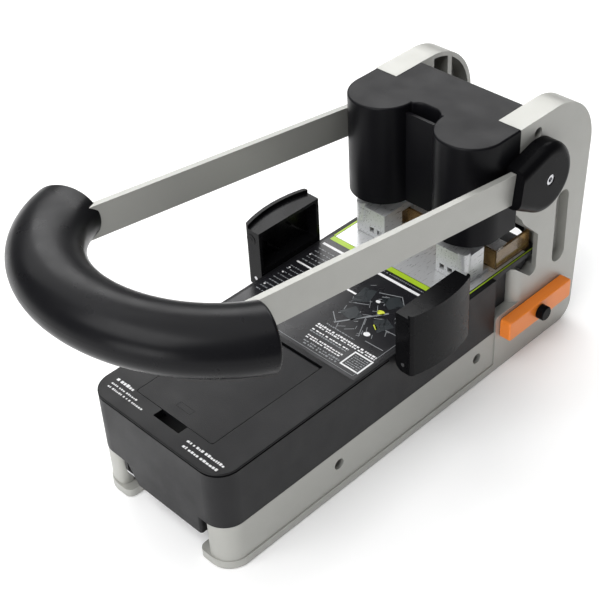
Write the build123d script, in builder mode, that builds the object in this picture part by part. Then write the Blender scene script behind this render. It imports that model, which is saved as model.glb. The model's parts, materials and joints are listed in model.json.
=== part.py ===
from build123d import *
from math import cos, sin, radians
import os

# Heavy-duty two-hole desk paper punch with a long U-shaped lever.
# Frame: +X right, -Y towards the user, +Z up; the origin is on the desk under the punch's middle.

os.makedirs("parts", exist_ok=True)

# ------------------------------------------------------------ driving dimensions, mm
HOLE_PITCH = 80.0             # standard spacing of filing holes
PUNCH_Y = 109.7               # line of the two punches
HOUSING_W = 130.0
TABLE_Z = 88.0                # height of the paper table
FRONT = -158.3                # front face of the housing
FRAME_X = 66.0                # outer face of each side frame
TOWER_T = 19.4
TOWER_FRONT, TOWER_REAR, TOWER_TOP = 129.8, 215.6, 206.0
RAIL_TOP = 39.2
FOOT_GAP = 0.8                # rubber pads stand proud of the frames by this much
PIVOT_Y, PIVOT_Z = 145.7, 165.0
ARM_TILT = 8.0                # rise of the lever towards the user, degrees
ARM_H, ARM_T, ARM_X = 24.0, 4.5, 74.5
GRIP_R, GRIP_REACH = 99.3, 241.0   # radius of the grip's arc, and pivot to its centre
GRIP_END = 22.8               # where the arc ends, degrees from sideways
GRIP_A, GRIP_B = 24.5, 19.5   # half width and half height of the grip
SHAFT_R = 7.0
CRANK_R, CRANK_DOWN = 38.0, 31.0   # length, and angle below level at rest
RUN = 0.05                    # radial clearance of a running fit
GAP = 0.4                     # clearance between bodies that move apart
WALL = 3.0

TOWER_X = FRAME_X - TOWER_T
PIN_X = HOLE_PITCH / 2
HALF_W = HOUSING_W / 2
TIP_Y = PIVOT_Y - CRANK_R * cos(radians(CRANK_DOWN))
TIP_Z = PIVOT_Z - CRANK_R * sin(radians(CRANK_DOWN))
SIDES = {"left": -1, "right": 1}

SILVER = Color(0.75, 0.75, 0.72)
BLACK = Color(0.08, 0.08, 0.085)
STEEL = Color(0.6, 0.6, 0.63)
ORANGE = Color(0.9, 0.42, 0.08)
AMBER = Color(0.55, 0.38, 0.18)


def side_plane(x):
    """Side view at x: local x is +Y, local y is +Z, and the normal is +X."""
    return Plane.YZ.offset(x)


def front_plane(y):
    """Front view at y: local x is +X, local y is +Z, and the normal is -Y."""
    return Plane.XZ.offset(-y)


def lever_plane(x):
    """Side view in line with the lever at x: local x runs from the pivot to the user."""
    tilt = radians(ARM_TILT)
    return Plane(origin=(x, PIVOT_Y, PIVOT_Z), x_dir=(0, -cos(tilt), sin(tilt)), z_dir=(-1, 0, 0))


# ------------------------------------------------------------ side frames
FLANGE_X, FLANGE_Z = 36.0, 7.3      # inner edge and top of the foot flange
WEB_X = (43.0, 65.2)                # the web above it is hollow towards the middle
WEB_FRONT, WEB_REAR, HOLLOW_REAR = FRONT + 1.3, 116.0, 82.3
WEB_WALL, NOSE_T = 8.2, 8.5
FLANGE_R, NOSE_R, INNER_R = 17.0, 15.0, 5.5
BOSS_R = 9.0
JAW_FRONT, JAW_Z = 133.5, 83.2     # the lower jaw of the paper throat
THROAT_REAR = 158.5
LEDGE_Z, LEDGE_FRONT, LEDGE_R = 52.5, 113.4, 3.0   # block round the drawer window
RELIEF_X, RELIEF_REAR, RELIEF_Z = 62.0, 167.7, (75.5, 104.5)   # room for the table's rear corners
CROWN_Y, CROWN_Z, CROWN_R = 169.6, 160.0, 46.0
WINDOW_Y = (120.5, 191.2)
WINDOW_Z = (32.8, 47.4)
SLOT_Y, SLOT_Z, SLOT_W, SLOT_L = 186.0, 97.0, 15.0, 64.0
RAIL_SCREWS = [(-53.3, 25.8), (93.6, 25.8)]
TIE_YZ = (149.5, 194.5)
DOWEL_YZ, DOWEL_R = (139.0, 73.0), 3.0
FOOT_Y, FOOT_X, FOOT_R = (-138.0, 190.0), 55.0, 8.0
SINK = 9.5                    # depth of the screws' counterbores

for side, s in SIDES.items():
    with BuildPart() as frame:
        with BuildSketch(side_plane(TOWER_X)):
            with BuildLine():
                Polyline((LEDGE_FRONT + LEDGE_R, LEDGE_Z), (JAW_FRONT, LEDGE_Z), (JAW_FRONT, JAW_Z),
                         (JAW_FRONT + 3, JAW_Z), (THROAT_REAR - 7.5, 70.5))
                RadiusArc((THROAT_REAR - 7.5, 70.5), (THROAT_REAR, 75.5), -5.5)
                Polyline((THROAT_REAR, 75.5), (THROAT_REAR, 104.5), (139.5, 123.5), (137.0, 128.5),
                         (TOWER_FRONT, 136.5), (TOWER_FRONT, TOWER_TOP), (CROWN_Y, TOWER_TOP))
                RadiusArc((CROWN_Y, TOWER_TOP), (TOWER_REAR, CROWN_Z), CROWN_R)
                Line((TOWER_REAR, CROWN_Z), (209.0, 16.0))
                RadiusArc((209.0, 16.0), (194.0, FOOT_GAP), 15.3)
                Polyline((194.0, FOOT_GAP), (LEDGE_FRONT, FOOT_GAP), (LEDGE_FRONT, LEDGE_Z - LEDGE_R))
                RadiusArc((LEDGE_FRONT, LEDGE_Z - LEDGE_R), (LEDGE_FRONT + LEDGE_R, LEDGE_Z), LEDGE_R)
            make_face()
        extrude(amount=TOWER_T)
        # foot rail with a round nose: foot flange below, web above
        with BuildSketch(Plane.XY.offset(FOOT_GAP)) as flange_plan:
            with Locations((FLANGE_X, FRONT)):
                Rectangle(FRAME_X - FLANGE_X, WEB_REAR - FRONT, align=(Align.MIN, Align.MIN))
            fillet(flange_plan.vertices().group_by(Axis.Y)[0].sort_by(Axis.X)[-1], FLANGE_R)
            fillet(flange_plan.vertices().group_by(Axis.Y)[0].sort_by(Axis.X)[0], INNER_R)
        extrude(amount=FLANGE_Z - FOOT_GAP)
        with BuildSketch(Plane.XY.offset(FLANGE_Z)) as web_plan:
            with Locations((WEB_X[0], WEB_FRONT)):
                Rectangle(WEB_X[1] - WEB_X[0], WEB_REAR - WEB_FRONT, align=(Align.MIN, Align.MIN))
            fillet(web_plan.vertices().group_by(Axis.Y)[0].sort_by(Axis.X)[-1], NOSE_R)
            fillet(web_plan.vertices().group_by(Axis.Y)[0].sort_by(Axis.X)[0], INNER_R)
        extrude(amount=RAIL_TOP - FLANGE_Z)
        # the web is open towards the middle behind its nose, with a boss at the front screw
        with BuildSketch(side_plane(WEB_X[0])):
            with Locations((WEB_FRONT + NOSE_T, FLANGE_Z)):
                Rectangle(HOLLOW_REAR - WEB_FRONT - NOSE_T, RAIL_TOP - FLANGE_Z, align=(Align.MIN, Align.MIN))
            with Locations(RAIL_SCREWS[0]):
                Circle(BOSS_R, mode=Mode.SUBTRACT)
        extrude(amount=WEB_X[1] - WEB_X[0] - WEB_WALL, mode=Mode.SUBTRACT)
        # inner relief for the rear corners of the table
        with BuildSketch(side_plane(TOWER_X)):
            with Locations((THROAT_REAR - 1, RELIEF_Z[0])):
                Rectangle(RELIEF_REAR - THROAT_REAR + 1, RELIEF_Z[1] - RELIEF_Z[0],
                          align=(Align.MIN, Align.MIN))
        extrude(amount=RELIEF_X - TOWER_X, mode=Mode.SUBTRACT)
        # the lower jaw's outer front corner is rounded in plan
        with BuildSketch(Plane.XY.offset(LEDGE_Z)):
            with Locations((FRAME_X, JAW_FRONT)):
                Rectangle(18, 18)
            with Locations((FRAME_X - 9, JAW_FRONT + 9)):
                Circle(9, mode=Mode.SUBTRACT)
            with Locations((FRAME_X - 9, JAW_FRONT)):
                Rectangle(9, 9, align=(Align.MAX, Align.MIN), mode=Mode.SUBTRACT)
        extrude(amount=JAW_Z - LEDGE_Z + 1, mode=Mode.SUBTRACT)
        # upright slot recess in the outer face
        with BuildSketch(side_plane(FRAME_X)):
            with Locations((SLOT_Y, SLOT_Z)):
                SlotOverall(SLOT_L, SLOT_W, rotation=90)
        extrude(amount=-8, mode=Mode.SUBTRACT)
        # lightening pockets under the crown, open inwards and split by a rib
        with BuildSketch(side_plane(TOWER_X)):
            with Locations((CROWN_Y, CROWN_Z)):
                Circle(CROWN_R - 3.5)
            with Locations((CROWN_Y + 2, CROWN_Z - 6)):
                Rectangle(60, 60, align=(Align.MIN, Align.MIN), mode=Mode.INTERSECT)
            with Locations((CROWN_Y + 20, CROWN_Z)):
                Rectangle(4.5, 120, mode=Mode.SUBTRACT)
        extrude(amount=13, mode=Mode.SUBTRACT)
        # shaft bore, screw holes with counterbores, dowel sockets
        with BuildSketch(side_plane(0)):
            with Locations((PIVOT_Y, PIVOT_Z)):
                Circle(SHAFT_R + RUN)
            with Locations(TIE_YZ, *RAIL_SCREWS):
                Circle(2.5)
        extrude(amount=FRAME_X + 1, mode=Mode.SUBTRACT)
        with BuildSketch(side_plane(FRAME_X)):
            with Locations(TIE_YZ, *RAIL_SCREWS):
                Circle(4.3)
        extrude(amount=-SINK, mode=Mode.SUBTRACT)
        with BuildSketch(side_plane(TOWER_X)):
            with Locations(DOWEL_YZ):
                Circle(DOWEL_R)
        extrude(amount=9, mode=Mode.SUBTRACT)
        # sockets for the rubber pads
        with BuildSketch(Plane.XY):
            with Locations(*[(FOOT_X, y) for y in FOOT_Y]):
                Circle(FOOT_R)
        extrude(amount=3, mode=Mode.SUBTRACT)
        if side == "right":
            with BuildSketch(side_plane(TOWER_X - 1)):
                with Locations((sum(WINDOW_Y) / 2, sum(WINDOW_Z) / 2)):
                    RectangleRounded(WINDOW_Y[1] - WINDOW_Y[0], WINDOW_Z[1] - WINDOW_Z[0], 2)
            extrude(amount=TOWER_T + 2, mode=Mode.SUBTRACT)
        else:
            mirror(about=Plane.YZ, mode=Mode.REPLACE)
    frame.part.label = f"{side}_frame"
    frame.part.color = SILVER
    export_step(frame.part, f"parts/{side}_frame.step")

with BuildPart() as rubber_feet:
    with BuildSketch():
        with Locations(*[(s * FOOT_X, y) for s in SIDES.values() for y in FOOT_Y]):
            Circle(FOOT_R)
    extrude(amount=3)
    chamfer(rubber_feet.faces().group_by(Axis.Z)[0].edges(), 0.3)
rubber_feet.part.label = "rubber_feet"
rubber_feet.part.color = BLACK
export_step(rubber_feet.part, "parts/rubber_feet.step")

# ------------------------------------------------------------ cross members
BAR_R = 6.0

with BuildPart() as cross_bars:
    with BuildSketch(side_plane(-WEB_X[0])):
        with Locations(*RAIL_SCREWS):
            Circle(BAR_R)
    extrude(amount=2 * WEB_X[0])
cross_bars.part.label = "cross_bars"
cross_bars.part.color = STEEL
export_step(cross_bars.part, "parts/cross_bars.step")

with BuildPart() as tie_rod:
    with BuildSketch(side_plane(-TOWER_X)):
        with Locations(TIE_YZ):
            Circle(5)
    extrude(amount=2 * TOWER_X)
tie_rod.part.label = "tie_rod"
tie_rod.part.color = STEEL
export_step(tie_rod.part, "parts/tie_rod.step")


def socket_screws(places, inner_x, name):
    """One screw each side at each place: shank to inner_x, socket head sunk in the frame."""
    seat = FRAME_X - SINK
    with BuildPart() as screws:
        for s in SIDES.values():
            with BuildSketch(side_plane(s * inner_x)):
                with Locations(*places):
                    Circle(2.5)
            extrude(amount=s * (seat - inner_x))
            with BuildSketch(side_plane(s * seat)):
                with Locations(*places):
                    Circle(4.0)
            extrude(amount=s * 3.6)
            with BuildSketch(side_plane(s * (seat + 3.6))):
                with Locations(*places):
                    RegularPolygon(2.0, 6)
            extrude(amount=-s * 2, mode=Mode.SUBTRACT)
    screws.part.label = name
    screws.part.color = STEEL
    export_step(screws.part, f"parts/{name}.step")


socket_screws(RAIL_SCREWS, WEB_X[0], "rail_screws")
socket_screws([TIE_YZ], TOWER_X, "tie_rod_screws")

BRACE_Y = 196.0
with BuildPart() as rear_brace:
    with BuildSketch(front_plane(BRACE_Y)):
        with Locations((0, 86.0)):
            RectangleRounded(2 * TOWER_X, 160.0, 5)
        with Locations((0, 112.0), (0, 60.0)):
            SlotOverall(56, 16, mode=Mode.SUBTRACT)
    extrude(amount=-4)
rear_brace.part.label = "rear_brace"
rear_brace.part.color = BLACK
export_step(rear_brace.part, "parts/rear_brace.step")

# ------------------------------------------------------------ base housing and its table
CORNER_R = 17.0
INNER_W = 2 * WEB_X[0] - 3.0    # part of the housing between the rails
LOWER_Z = 24.0
LOWER_REAR = 86.0
BODY_REAR = 112.6
TABLE_REAR = 165.7
TABLE_W = 123.0
SLAB_T = 4.0
LID_W = 75.6
LID_Y = (FRONT + 20.0, FRONT + 120.0)
LID_T = 2.8
LID_AXIS = (LID_Y[1] - 3.3, TABLE_Z - 2.1)
LEDGE = 3.2                   # the lid's ledge lies this far under the table's surface
LABEL_W, LABEL_T = 124.0, 0.8
LABEL_Y = (FRONT + 124.0, FRONT + 233.0)
PLATE_W, PLATE_T = 118.0, 2.0
PLATE_Y = (LABEL_Y[1] + 0.2, TABLE_REAR - 12.0)
TRAY_FLOOR = 58.0
FINGER_Y, FINGER_W, FINGER_DEPTH = FRONT + 12.3, 25.2, 6.5
SEAM_Z, SEAM_T, SEAM_D = 1.0, 1.6, 1.0     # depth of the seam's top, its height, how far it cuts in
WING_AXIS = (72.0, 82.5)      # x and z of the side guides' hinge pins
LUG_Y, LUG_T, LUG_R = (18.0, 50.4), 8.0, 4.0
TONGUE_X = 55.0
PIN_R = 1.5
DIE_R = 9.0
POST_X, POST_Y, POST_R = 33.2, 128.5, 4.3

with BuildPart() as housing:
    with BuildSketch(Plane.XY.offset(RAIL_TOP)):
        with Locations((0, (FRONT + BODY_REAR) / 2)):
            Rectangle(HOUSING_W, BODY_REAR - FRONT)
    extrude(amount=TABLE_Z - RAIL_TOP)
    fillet(housing.edges().filter_by(Axis.Z).group_by(Axis.Y)[0], CORNER_R)
    top_edges = housing.faces().sort_by(Axis.Z)[-1].edges()
    fillet([edge for edge in top_edges if edge.center().Y < BODY_REAR - 1], 0.8)
    # slab that runs back into the paper throat
    with BuildSketch(Plane.XY.offset(TABLE_Z - SLAB_T)):
        with Locations((0, (BODY_REAR - 20 + TABLE_REAR) / 2)):
            RectangleRounded(TABLE_W, TABLE_REAR - BODY_REAR + 20, 2)
    extrude(amount=SLAB_T)
    # lower part between the rails
    with BuildSketch(Plane.XY.offset(LOWER_Z)):
        with Locations((0, (FRONT + LOWER_REAR) / 2)):
            RectangleRounded(INNER_W, LOWER_REAR - FRONT, 2)
    extrude(amount=RAIL_TOP - LOWER_Z)
    # the lower front wall slopes away at its left end
    with BuildSketch(front_plane(FRONT + WALL + 1)):
        Polygon((-INNER_W / 2 - 1, RAIL_TOP), (-32, RAIL_TOP), (-21.5, LOWER_Z - 1),
                (-INNER_W / 2 - 1, LOWER_Z - 1), align=None)
    extrude(amount=WALL + 2, mode=Mode.SUBTRACT)
    # hollow from below
    with BuildSketch(Plane.XY.offset(RAIL_TOP + WALL)):
        with Locations((0, (FRONT + 96.0) / 2)):
            RectangleRounded(HOUSING_W - 2 * WALL, 96.0 - FRONT - 2 * WALL, CORNER_R - WALL)
    extrude(amount=TABLE_Z - RAIL_TOP - 3 * WALL, mode=Mode.SUBTRACT)
    with BuildSketch(Plane.XY.offset(LOWER_Z)):
        with Locations((0, (FRONT + LOWER_REAR) / 2)):
            Rectangle(INNER_W - 2 * WALL, LOWER_REAR - FRONT - 2 * WALL)
    extrude(amount=RAIL_TOP + 2 * WALL - LOWER_Z, mode=Mode.SUBTRACT)
    # room for the die bed, the chute and the towers' lower jaws
    with BuildSketch(Plane.XY.offset(LOWER_Z)):
        with Locations((0, 95.0)):
            Rectangle(HOUSING_W - 2 * WALL, 80.0, align=(Align.CENTER, Align.MIN))
    extrude(amount=TABLE_Z - SLAB_T - GAP - LOWER_Z, mode=Mode.SUBTRACT)
    # tongues in front of the lower jaws, and aprons that close the throats under the table
    for s in SIDES.values():
        with BuildSketch(side_plane(s * TONGUE_X)):
            Polygon((BODY_REAR - WALL, LEDGE_Z + GAP), (JAW_FRONT - GAP, LEDGE_Z + GAP),
                    (JAW_FRONT - GAP, TABLE_Z - SLAB_T + 1), (BODY_REAR - WALL, TABLE_Z - SLAB_T + 1),
                    align=None)
            Polygon((JAW_FRONT + 5, TABLE_Z - SLAB_T + 1), (THROAT_REAR - 7, 72.0), (THROAT_REAR - 1.2, 77.0),
                    (THROAT_REAR - 1.2, TABLE_Z - SLAB_T + 1), align=None)
        extrude(amount=s * WALL)
        with BuildSketch(Plane.XY.offset(LEDGE_Z + GAP)):
            with Locations((s * (HALF_W + TONGUE_X) / 2, BODY_REAR - WALL / 2)):
                Rectangle(HALF_W - TONGUE_X - 1, WALL)
        extrude(amount=TABLE_Z - SLAB_T + 1 - LEDGE_Z - GAP)
    # holes for the front cross bar
    with BuildSketch(side_plane(-HALF_W)):
        with Locations(RAIL_SCREWS[0]):
            Circle(BAR_R + 0.3)
    extrude(amount=HOUSING_W, mode=Mode.SUBTRACT)
    # beds of the printed label and the steel table plate
    with BuildSketch(Plane.XY.offset(TABLE_Z - LABEL_T)):
        with Locations((0, sum(LABEL_Y) / 2)):
            Rectangle(LABEL_W, LABEL_Y[1] - LABEL_Y[0])
    extrude(amount=LABEL_T + 1, mode=Mode.SUBTRACT)
    with BuildSketch(Plane.XY.offset(TABLE_Z - PLATE_T)):
        with Locations((0, sum(PLATE_Y) / 2)):
            Rectangle(PLATE_W, PLATE_Y[1] - PLATE_Y[0])
    extrude(amount=PLATE_T + 1, mode=Mode.SUBTRACT)
    # lid opening with its ledge, hinge trough and hinge pin holes
    with BuildSketch(Plane.XY.offset(TABLE_Z - LEDGE)):
        with Locations((0, sum(LID_Y) / 2)):
            RectangleRounded(LID_W, LID_Y[1] - LID_Y[0], 2)
    extrude(amount=LEDGE + 1, mode=Mode.SUBTRACT)
    with BuildSketch(Plane.XY.offset(TABLE_Z - 3 * WALL)):
        with Locations((0, sum(LID_Y) / 2)):
            RectangleRounded(LID_W - 2 * WALL, LID_Y[1] - LID_Y[0] - 2 * WALL, 2)
    extrude(amount=3 * WALL, mode=Mode.SUBTRACT)
    with BuildSketch(Plane.XY.offset(LID_AXIS[1] - 3)):
        with Locations((0, LID_AXIS[0])):
            Rectangle(LID_W, 6.6)
    extrude(amount=TABLE_Z - LID_AXIS[1] + 4, mode=Mode.SUBTRACT)
    with BuildSketch(side_plane(-LID_W / 2 - 3.5)):
        with Locations(LID_AXIS):
            Circle(1.0 + RUN)
    extrude(amount=LID_W + 7, mode=Mode.SUBTRACT)
    # finger recess in front of the lid, with a window under the lid's edge
    with BuildSketch(Plane.XY.offset(TABLE_Z - FINGER_DEPTH)):
        with Locations((1.5, LID_Y[0])):
            Rectangle(FINGER_W, LID_Y[0] - FINGER_Y, align=(Align.CENTER, Align.MAX))
        with Locations((1.5, FINGER_Y + 4)):
            RectangleRounded(FINGER_W, 8, 3.9)
    extrude(amount=FINGER_DEPTH + 1, mode=Mode.SUBTRACT)
    with BuildSketch(front_plane(LID_Y[0] + WALL + 1)):
        with Locations((1.5, TABLE_Z - FINGER_DEPTH)):
            Rectangle(FINGER_W - 2, FINGER_DEPTH - LEDGE + 1, align=(Align.CENTER, Align.MIN))
    extrude(amount=WALL + 2, mode=Mode.SUBTRACT)
    # seam under the top edge, all round the front
    with BuildSketch(Plane.XY.offset(TABLE_Z - SEAM_Z)):
        with Locations((0, (FRONT + BODY_REAR) / 2)):
            Rectangle(HOUSING_W + 2, BODY_REAR - FRONT + 2)
            RectangleRounded(HOUSING_W - 2 * SEAM_D, BODY_REAR - FRONT - 2 * SEAM_D, CORNER_R - SEAM_D,
                             mode=Mode.SUBTRACT)
        with Locations((0, LUG_Y[0] - 20)):
            Rectangle(HOUSING_W + 4, BODY_REAR + 10, align=(Align.CENTER, Align.MIN), mode=Mode.SUBTRACT)
    extrude(amount=-SEAM_T, mode=Mode.SUBTRACT)
    # openings for the dies and the guide posts
    with BuildSketch(Plane.XY.offset(TABLE_Z - 6)):
        with Locations((-PIN_X, PUNCH_Y), (PIN_X, PUNCH_Y)):
            Circle(DIE_R)
        with Locations((-POST_X, POST_Y), (POST_X, POST_Y)):
            Circle(POST_R + 0.2)
    extrude(amount=7, mode=Mode.SUBTRACT)
    # hinge lugs of the side guides
    for s in SIDES.values():
        for y in LUG_Y:
            with BuildSketch(front_plane(y + LUG_T / 2)):
                with Locations((s * WING_AXIS[0], WING_AXIS[1])):
                    Circle(LUG_R)
                with Locations((s * (HALF_W - 0.5 + WING_AXIS[0]) / 2, WING_AXIS[1])):
                    Rectangle(WING_AXIS[0] - HALF_W + 0.5, 2 * LUG_R)
            extrude(amount=LUG_T)
            with BuildSketch(front_plane(y + LUG_T / 2)):
                with Locations((s * WING_AXIS[0], WING_AXIS[1])):
                    Circle(PIN_R + RUN)
            extrude(amount=LUG_T, mode=Mode.SUBTRACT)
housing.part.label = "base_housing"
housing.part.color = BLACK
export_step(housing.part, "parts/base_housing.step")

with BuildPart() as bottom_plate:
    with BuildSketch(Plane.XY.offset(LOWER_Z)):
        with Locations((0, (FRONT + LOWER_REAR) / 2)):
            Rectangle(INNER_W - 2 * WALL, LOWER_REAR - FRONT - 2 * WALL)
        with Locations((0, RAIL_SCREWS[0][0])):
            Rectangle(INNER_W - 2 * WALL, 2 * BAR_R + 1, mode=Mode.SUBTRACT)
    extrude(amount=1.5)
bottom_plate.part.label = "bottom_plates"
bottom_plate.part.color = STEEL
export_step(bottom_plate.part, "parts/bottom_plates.step")

with BuildPart() as storage_tray:
    outer_y = (LID_Y[0] + WALL, LID_AXIS[0] - 3.5)
    with BuildSketch(Plane.XY.offset(TRAY_FLOOR)):
        with Locations((0, sum(outer_y) / 2)):
            RectangleRounded(LID_W - 2 * WALL + 4, outer_y[1] - outer_y[0], 3)
    extrude(amount=TABLE_Z - 2 * WALL - TRAY_FLOOR)
    offset(amount=-1.8, openings=storage_tray.faces().sort_by(Axis.Z)[-1])
storage_tray.part.label = "storage_tray"
storage_tray.part.color = BLACK
export_step(storage_tray.part, "parts/storage_tray.step")

with BuildPart() as table_label:
    with BuildSketch(Plane.XY.offset(TABLE_Z - LABEL_T)):
        with Locations((0, sum(LABEL_Y) / 2)):
            Rectangle(LABEL_W, LABEL_Y[1] - LABEL_Y[0])
    extrude(amount=LABEL_T)
table_label.part.label = "table_label"
table_label.part.color = BLACK
export_step(table_label.part, "parts/table_label.step")

with BuildPart() as table_plate:
    with BuildSketch(Plane.XY.offset(TABLE_Z - PLATE_T)):
        with Locations((0, sum(PLATE_Y) / 2)):
            Rectangle(PLATE_W, PLATE_Y[1] - PLATE_Y[0])
        with Locations((-PIN_X, PUNCH_Y), (PIN_X, PUNCH_Y)):
            Circle(DIE_R, mode=Mode.SUBTRACT)
        with Locations((-POST_X, POST_Y), (POST_X, POST_Y)):
            Circle(POST_R + 0.2, mode=Mode.SUBTRACT)
    extrude(amount=PLATE_T)
table_plate.part.label = "table_plate"
table_plate.part.color = STEEL
export_step(table_plate.part, "parts/table_plate.step")

# ------------------------------------------------------------ lid
with BuildPart() as lid:
    with BuildSketch(Plane.XY.offset(TABLE_Z - LID_T)):
        with Locations((0, LID_Y[0] + GAP)):
            Rectangle(LID_W - 2 * GAP, LID_AXIS[0] - LID_Y[0] - GAP, align=(Align.CENTER, Align.MIN))
    extrude(amount=LID_T)
    fillet(lid.edges().filter_by(Axis.Z).group_by(Axis.Y)[0], 2)
    with BuildSketch(side_plane(-LID_W / 2 + GAP)):
        with Locations(LID_AXIS):
            Circle(TABLE_Z - LID_AXIS[1])
    extrude(amount=LID_W - 2 * GAP)
    with BuildSketch(side_plane(-LID_W / 2)):
        with Locations(LID_AXIS):
            Circle(1.0)
    extrude(amount=LID_W, mode=Mode.SUBTRACT)
lid.part.label = "lid"
lid.part.color = BLACK
export_step(lid.part, "parts/lid.step")

with BuildPart() as lid_pin:
    with BuildSketch(side_plane(-LID_W / 2 - 3)):
        with Locations(LID_AXIS):
            Circle(1.0)
    extrude(amount=LID_W + 6)
lid_pin.part.label = "lid_hinge_pin"
lid_pin.part.color = STEEL
export_step(lid_pin.part, "parts/lid_hinge_pin.step")

# ------------------------------------------------------------ folding side guides
WING_Y = (3.7, 64.7)
WING_TOP = 128.0
WING_INNER, WING_OUTER, WING_BULGE = 65.6, 79.5, 84.5
WING_ROUND = 6.4              # lower corners stay inside this radius about the pin
WING_WALL = 2.6
LIP_T, LIP_H = 3.0, 3.0
RECESS, RECESS_Z, RIB_H, RIB_T = 11.0, 92.0, 3.0, 1.4
WING_RIBS = [(25.0, 98.5, 17.0), (51.5, 100.5, 23.0)]    # y, z and length of the recess's slanting ribs

for side, s in SIDES.items():
    with BuildPart() as wing:
        with BuildSketch(Plane.XY.offset(WING_AXIS[1] - WING_ROUND)):
            with BuildLine():
                Polyline((WING_OUTER, WING_Y[0]), (WING_INNER, WING_Y[0]), (WING_INNER, WING_Y[1]),
                         (WING_OUTER, WING_Y[1]))
                ThreePointArc((WING_OUTER, WING_Y[1]), (WING_BULGE, sum(WING_Y) / 2), (WING_OUTER, WING_Y[0]))
            make_face()
        extrude(amount=WING_TOP - WING_AXIS[1] + WING_ROUND)
        upright = wing.edges().filter_by(Axis.Z).group_by(Axis.X)[-1]
        fillet(upright, 3)
        # the inner lower corner is rounded about the pin
        with BuildSketch(front_plane(100)):
            with Locations(WING_AXIS):
                Circle(WING_ROUND)
            with Locations((WING_AXIS[0] - WING_ROUND, WING_AXIS[1])):
                Rectangle(30, 60, align=(Align.MIN, Align.MIN))
            with Locations((WING_AXIS[0], WING_AXIS[1] - WING_ROUND)):
                Rectangle(30, 60, align=(Align.MIN, Align.MIN))
        extrude(amount=120, mode=Mode.INTERSECT)
        # the bulging outer wall stands above the flat inner part as a lip
        with BuildSketch(Plane.XY.offset(WING_TOP)):
            with BuildLine():
                ThreePointArc((WING_OUTER - LIP_T, WING_Y[1]), (WING_BULGE - LIP_T, sum(WING_Y) / 2),
                              (WING_OUTER - LIP_T, WING_Y[0]))
                Polyline((WING_OUTER - LIP_T, WING_Y[0]), (WING_INNER - 1, WING_Y[0]),
                         (WING_INNER - 1, WING_Y[1]), (WING_OUTER - LIP_T, WING_Y[1]))
            make_face()
        extrude(amount=-LIP_H, mode=Mode.SUBTRACT)
        # recess facing the paper, with upright ribs
        with BuildSketch(side_plane(WING_INNER)):
            with Locations((sum(WING_Y) / 2, RECESS_Z)):
                RectangleRounded(WING_Y[1] - WING_Y[0] - 2 * WING_WALL,
                                 WING_TOP - LIP_H - WING_WALL - RECESS_Z, 2,
                                 align=(Align.CENTER, Align.MIN))
        extrude(amount=RECESS, mode=Mode.SUBTRACT)
        for y, z, length in WING_RIBS:
            with BuildSketch(side_plane(WING_INNER + RECESS - RIB_H)):
                with Locations((y, z)):
                    Rectangle(length, RIB_T, rotation=-45)
            extrude(amount=RIB_H + 0.5)
        # slots that clear the housing's lugs, and the pin's bore
        for y in LUG_Y:
            with BuildSketch(front_plane(y + LUG_T / 2 + GAP)):
                with Locations((WING_INNER - 1, WING_AXIS[1])):
                    Rectangle(WING_AXIS[0] - WING_INNER + 1, 2 * (LUG_R + 0.5),
                              align=(Align.MIN, Align.CENTER))
                with Locations(WING_AXIS):
                    Circle(LUG_R + 0.5)
                with Locations((WING_AXIS[0], WING_AXIS[1])):
                    Rectangle(LUG_R + 0.5, 10, align=(Align.MIN, Align.MAX))
                with Locations((WING_INNER - 1, WING_AXIS[1])):
                    Rectangle(WING_AXIS[0] - WING_INNER + 1, 10, align=(Align.MIN, Align.MAX))
            extrude(amount=LUG_T + 2 * GAP, mode=Mode.SUBTRACT)
        with BuildSketch(front_plane(100)):
            with Locations(WING_AXIS):
                Circle(PIN_R)
        extrude(amount=120, mode=Mode.SUBTRACT)
        if side == "left":
            mirror(about=Plane.YZ, mode=Mode.REPLACE)
    wing.part.label = f"{side}_side_guide"
    wing.part.color = BLACK
    export_step(wing.part, f"parts/{side}_side_guide.step")

    with BuildPart() as wing_pin:
        with BuildSketch(front_plane(WING_Y[1])):
            with Locations((s * WING_AXIS[0], WING_AXIS[1])):
                Circle(PIN_R)
        extrude(amount=WING_Y[1] - WING_Y[0])
    wing_pin.part.label = f"{side}_guide_pin"
    wing_pin.part.color = STEEL
    export_step(wing_pin.part, f"parts/{side}_guide_pin.step")

# ------------------------------------------------------------ punching bed
BED_Y = (96.0, 148.0)
BED_Z = (66.0, TABLE_Z - SLAB_T - GAP)
DIE_SEAT = 74.0
PUNCH_R = 3.0
FENCE_Y, FENCE_T, FENCE_TOP = 121.8, 2.0, 103.6
FENCE_X, FENCE_REAR = 57.0, 160.0

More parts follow.
